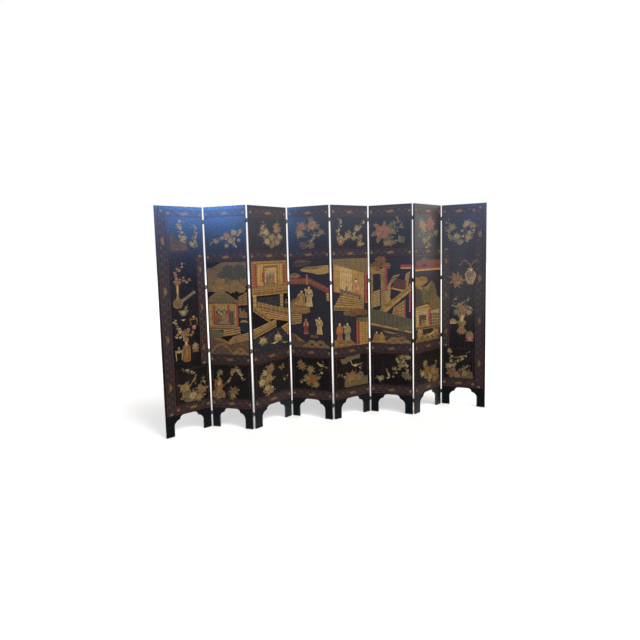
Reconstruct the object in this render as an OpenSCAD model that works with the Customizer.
// Folding room divider: eight lacquered boards on arched feet, joined edge to edge by
// loose-pin hinges and standing in a zigzag. The painted fronts face -Y, the feet stand
// on Z = 0, and panel 1 is at the left (-X) end.
//
// Odd joints fold front to front, so their pins stand just in front of the boards.
// Even joints fold back to back, so their pins stand just behind them.
// A fork plate (two eyes) is let into the right edge of each board, an eye plate (one
// eye) into the left edge of the next, and a drop-in pin joins the three eyes.

/* [Panels] */
// Height of a board
panel_height = 2134; // [1400:1:2600]
// Width of a board
panel_width = 414; // [330:1:620]
// Thickness of a board
panel_thickness = 18; // [14:0.5:30]
// Radius of the rounded edges of a board
edge_radius = 2; // [0.5:0.1:3]

/* [Foot arch] */
// Width of each foot of a board
foot_width = 76; // [50:1:95]
// Height of the straight inner side of a foot
foot_side_height = 92; // [60:1:150]
// Radius of the lower lobe of the arch
lower_lobe_radius = 64; // [40:1:75]
// Radius of the upper lobe of the arch
upper_lobe_radius = 39; // [25:1:55]
// How far the upper lobe's centre stands further in than the lower lobe's
lobe_step = 25; // [10:1:30]
// Height of the flat top of the arch
arch_height = 192; // [160:1:260]

/* [Standing zigzag] */
// Fold of joint 1, front to front (0 is straight)
fold_1 = 39; // [0:1:120]
// Fold of joint 2, back to back
fold_2 = 45; // [0:1:120]
// Fold of joint 3, front to front
fold_3 = 49; // [0:1:120]
// Fold of joint 4, back to back
fold_4 = 36; // [0:1:120]
// Fold of joint 5, front to front
fold_5 = 34; // [0:1:120]
// Fold of joint 6, back to back
fold_6 = 43; // [0:1:120]
// Fold of joint 7, front to front
fold_7 = 46; // [0:1:120]

/* [Hinges] */
// Number of hinges in a joint
hinges_per_joint = 4; // [2:1:6]
// Height of the middle of the lowest hinge, and of the highest one under the top
hinge_margin = 139; // [60:1:220]
// Gap between the edges of two boards when the screen is straight
panel_gap = 12; // [11:0.1:20]
// How far a pin's axis stands off the faces that it brings together
face_clearance = 1.5; // [0.5:0.1:4]
// Gap left between an eye and the board's edge that it turns past
eye_edge_clearance = 1; // [0.5:0.1:2]
// Height of one eye
eye_height = 11.5; // [6:0.5:15]
// Gap between one eye and the next
eye_gap = 0.5; // [0.3:0.1:1.5]
// Diameter of a pin
pin_diameter = 5; // [4:0.1:6.5]
// Radial clearance of a pin in its eyes
pin_clearance = 0.05; // [0.02:0.01:0.1]
// Diameter of a pin's head
pin_head_diameter = 8; // [7:0.1:10]
// Height of a pin's head
pin_head_height = 3; // [2:0.1:5]
// Length of a pin below the lowest eye
pin_tail = 2; // [1:0.1:6]
// Length of a hinge plate
plate_length = 62; // [56:1:80]
// Thickness of a hinge plate
plate_thickness = 2; // [1.8:0.1:4]
// Wood left beside a hinge plate on each side
plate_inset = 2; // [2:0.1:3.5]
// Thickness of the arm from a plate to its eye
arm_thickness = 5; // [3:0.1:6]

/* [Screws] */
// Distance between the two screws of a hinge plate
screw_spacing = 48; // [45:1:50]
// Diameter of a screw's shank
screw_diameter = 3.2; // [2.5:0.1:4]
// Diameter of a screw's countersunk head
screw_head_diameter = 6.4; // [5.5:0.1:7]
// Length of a screw
screw_length = 16; // [10:1:25]
// Width of a screw's slot
slot_width = 0.8; // [0.5:0.1:1]
// Depth of a screw's slot
slot_depth = 0.7; // [0.4:0.1:1]

/* [Fits] */
// Clearance around a hinge plate in its recess
recess_clearance = 0.1; // [0.05:0.05:0.3]
// Clearance around a screw
screw_clearance = 0.05; // [0.02:0.01:0.1]

/* [Hidden] */
$fn = 48;
// How far a cut runs past the face that it opens
cut_past = 1;

folds = [fold_1, fold_2, fold_3, fold_4, fold_5, fold_6, fold_7];
joint_count = len(folds);
panel_count = joint_count + 1;

// A pin's axis, measured from the middle of the nearer board's edge
axis_reach = panel_gap / 2;
axis_offset = panel_thickness / 2 + face_clearance;
eye_radius = axis_reach - eye_edge_clearance;
// Width of the part of an arm that rises from the gap to the eye
riser_width = 0.8 * eye_radius;
eye_step = eye_height + eye_gap;
plate_width = panel_thickness - 2 * plate_inset;
hinge_height = 3 * eye_height + 2 * eye_gap;
pin_length = hinge_height + pin_tail;
hinge_spacing = (panel_height - 2 * hinge_margin) / (hinges_per_joint - 1);
// A 90 degree countersink is as deep as its radius shrinks
screw_head_height = (screw_head_diameter - screw_diameter) / 2;

lacquer_colour = "#191312";
metal_colour = "#5a4a2e";
pin_colour = "#6d5a38";
screw_colour = "#7a6640";

// ---- Plan of the zigzag -------------------------------------------------------------
// A board's own frame has its origin at the foot of its left edge, midway through its
// thickness, with X along the board and the painted front at -Y.

function turned(v, angle) =
    [v.x * cos(angle) - v.y * sin(angle), v.x * sin(angle) + v.y * cos(angle)];

// The side of the boards on which joint j has its axis: -1 in front, +1 behind
function axis_side(j) = j % 2 == 1 ? -1 : 1;

function right_axis(j) = [panel_width + axis_reach, axis_side(j) * axis_offset];
function left_axis(j) = [-axis_reach, axis_side(j) * axis_offset];

// Heading and origin of board k in a plan where board 1 lies along X from the origin
function chain_heading(k) =
    k == 1 ? 0 : chain_heading(k - 1) + axis_side(k - 1) * folds[k - 2];
function chain_axis(j) = chain_origin(j) + turned(right_axis(j), chain_heading(j));
function chain_origin(k) =
    k == 1 ? [0, 0] : chain_axis(k - 1) - turned(left_axis(k - 1), chain_heading(k));

// The plan is turned so that the line from the first edge to the last lies along X
chain_end = chain_origin(panel_count) + turned([panel_width, 0], chain_heading(panel_count));
line_angle = atan2(chain_end.y, chain_end.x);
headings = [for (k = [1 : panel_count]) chain_heading(k) - line_angle];
line_origins = [for (k = [1 : panel_count]) turned(chain_origin(k), -line_angle)];

// The centres of every board's rounded corners give the box around the screen
corner_centres = [
    for (k = [0 : panel_count - 1])
        for (x = [edge_radius, panel_width - edge_radius])
            for (side = [-1, 1])
                line_origins[k]
                    + turned([x, side * (panel_thickness / 2 - edge_radius)], headings[k])
];
corner_xs = [for (c = corner_centres) c.x];
corner_ys = [for (c = corner_centres) c.y];
plan_centre = [min(corner_xs) + max(corner_xs), min(corner_ys) + max(corner_ys)] / 2;
origins = [for (p = line_origins) p - plan_centre];

// Places its children, drawn in board k's own frame
module on_panel(k) {
    translate([origins[k - 1].x, origins[k - 1].y, 0])
        rotate([0, 0, headings[k - 1]])
            children();
}

// Repeats its children at the middle height of each hinge
module at_hinge_heights() {
    for (i = [0 : hinges_per_joint - 1])
        translate([0, 0, hinge_margin + i * hinge_spacing])
            children();
}

// Frame of a hinge in a board's edge: +X out of the edge, +Y towards the hinge's axis,
// with its origin at the middle of the edge. end is -1 for a left edge, +1 for a right one.
module in_edge(end, j) {
    translate([end > 0 ? panel_width : 0, 0, 0])
        scale([end, axis_side(j), 1])
            children();
}

// ---- Board ----------------------------------------------------------------------------

// Rectangle with its lower left corner at the origin and rounded corners
module rounded_rectangle(width, height, radius) {
    translate([radius, 0])
        square([width - 2 * radius, height]);
    translate([0, radius])
        square([width, height - 2 * radius]);
    for (x = [radius, width - radius])
        for (y = [radius, height - radius])
            translate([x, y])
                circle(radius);
}

// One lobe of the arch: two quarter circles and the flat top between them, with
// straight sides down to the top of the straight foot sides
module arch_lobe(centre_inset, centre_height, radius) {
    for (x = [centre_inset, panel_width - centre_inset])
        translate([x, centre_height])
            circle(radius, $fn = 96);
    translate([centre_inset, foot_side_height])
        square([panel_width - 2 * centre_inset, centre_height + radius - foot_side_height]);
    translate([centre_inset - radius, foot_side_height - cut_past])
        square([panel_width - 2 * (centre_inset - radius),
                centre_height - foot_side_height + cut_past]);
}

// Outline of the opening between a board's feet
module arch_outline() {
    lower_inset = foot_width + lower_lobe_radius;
    translate([foot_width, -cut_past])
        square([panel_width - 2 * foot_width, foot_side_height + cut_past]);
    arch_lobe(lower_inset, foot_side_height, lower_lobe_radius);
    arch_lobe(lower_inset + lobe_step, arch_height - upper_lobe_radius, upper_lobe_radius);
}

// A slab with rounded edges all round and the arch cut through it
module arched_board() {
    difference() {
        intersection() {
            translate([0, -panel_thickness / 2, 0])
                linear_extrude(panel_height)
                    rounded_rectangle(panel_width, panel_thickness, edge_radius);
            translate([0, -panel_thickness / 2, 0])
                rotate([90, 0, 90])
                    linear_extrude(panel_width)
                        rounded_rectangle(panel_thickness, panel_height, edge_radius);
        }
        translate([0, panel_thickness / 2 + cut_past, 0])
            rotate([90, 0, 0])
                linear_extrude(panel_thickness + 2 * cut_past)
                    arch_outline();
    }
}

module panel(k) {
    color(lacquer_colour)
        on_panel(k)
            difference() {
                arched_board();
                if (k > 1)
                    in_edge(-1, k - 1)
                        at_hinge_heights()
                            plate_recess();
                if (k < panel_count)
                    in_edge(1, k)
                        at_hinge_heights()
                            plate_recess();
            }
}

// ---- Hinge plates -----------------------------------------------------------------------

// Flat plate with round ends, lying against X = 0 on the inside of the edge
module plate_blank(clearance, depth) {
    end_radius = plate_width / 2;
    rotate([90, 0, -90])
        linear_extrude(depth) {
            square([plate_width + 2 * clearance, plate_length - plate_width], center = true);
            for (side = [-1, 1])
                translate([0, side * (plate_length / 2 - end_radius)])
                    circle(end_radius + clearance);
        }
}

// Recess for a plate and pilot holes for its screws, cut into a board's edge
module plate_recess() {
    plate_blank(recess_clearance, plate_thickness);
    translate([-cut_past / 2, 0, 0])
        mirror([1, 0, 0])
            plate_blank(recess_clearance, cut_past);
    for (side = [-1, 1])
        translate([-screw_length - screw_clearance, 0, side * screw_spacing / 2])
            rotate([0, 90, 0])
                cylinder(h = screw_length, d = screw_diameter + 2 * screw_clearance);
}

// Countersunk holes for the two screws of a plate
module screw_holes() {
    head_radius = screw_head_diameter / 2 + screw_clearance;
    shank_radius = screw_diameter / 2 + screw_clearance;
    for (side = [-1, 1])
        translate([0, 0, side * screw_spacing / 2])
            rotate([0, 90, 0]) {
                translate([0, 0, -plate_thickness - cut_past])
                    cylinder(h = plate_thickness + 2 * cut_past, r = shank_radius);
                translate([0, 0, -screw_head_height])
                    cylinder(h = screw_head_height, r1 = shank_radius, r2 = head_radius);
            }
}

// One eye on its cranked arm, centred on the given height
module eye(height) {
    arm_inside = plate_width / 2 - arm_thickness;
    translate([0, 0, height - eye_height / 2]) {
        translate([axis_reach, axis_offset, 0])
            cylinder(h = eye_height, r = eye_radius);
        translate([-plate_thickness / 2, arm_inside, 0])
            cube([axis_reach + plate_thickness / 2, arm_thickness, eye_height]);
        translate([axis_reach - riser_width, arm_inside, 0])
            cube([riser_width, axis_offset - arm_inside, eye_height]);
    }
}

// A plate with an eye at each of the given heights, bored for the pin
module hinge_plate(eye_heights) {
    difference() {
        union() {
            plate_blank(0, plate_thickness);
            for (height = eye_heights)
                eye(height);
        }
        screw_holes();
        translate([axis_reach, axis_offset, -hinge_height])
            cylinder(h = 2 * hinge_height, d = pin_diameter + 2 * pin_clearance);
    }
}

module fork_plates(j) {
    color(metal_colour)
        on_panel(j)
            in_edge(1, j)
                at_hinge_heights()
                    hinge_plate([-eye_step, eye_step]);
}

module eye_plates(j) {
    color(metal_colour)
        on_panel(j + 1)
            in_edge(-1, j)
                at_hinge_heights()
                    hinge_plate([0]);
}

// ---- Pins and screws ----------------------------------------------------------------------

// Drop-in pin, hanging by its head from the upper eye of the fork
module hinge_pin() {
    translate([0, 0, hinge_height / 2 - pin_length])
        cylinder(h = pin_length, d = pin_diameter);
    translate([0, 0, hinge_height / 2])
        cylinder(h = pin_head_height, d = pin_head_diameter);
}

module pins(j) {
    color(pin_colour)
        on_panel(j)
            in_edge(1, j)
                at_hinge_heights()
                    translate([axis_reach, axis_offset, 0])
                        hinge_pin();
}

// Slotted countersunk screw along X, with its head level with X = 0
module wood_screw() {
    difference() {
        rotate([0, 90, 0]) {
            translate([0, 0, -screw_length])
                cylinder(h = screw_length, d = screw_diameter);
            translate([0, 0, -screw_head_height])
                cylinder(h = screw_head_height, d1 = screw_diameter, d2 = screw_head_diameter);
        }
        translate([-slot_depth, -slot_width / 2, -screw_head_diameter])
            cube([slot_depth + cut_past, slot_width, 2 * screw_head_diameter]);
    }
}

// The two screws of every plate in one edge
module edge_screws() {
    at_hinge_heights()
        for (side = [-1, 1])
            translate([0, 0, side * screw_spacing / 2])
                wood_screw();
}

module fork_screws(j) {
    color(screw_colour)
        on_panel(j)
            in_edge(1, j)
                edge_screws();
}

module eye_screws(j) {
    color(screw_colour)
        on_panel(j + 1)
            in_edge(-1, j)
                edge_screws();
}

// ---- Nodes ----------------------------------------------------------------------------------

for (k = [1 : panel_count])
    panel(k);

for (j = [1 : joint_count]) {
    fork_plates(j);
    eye_plates(j);
    pins(j);
    fork_screws(j);
    eye_screws(j);
}
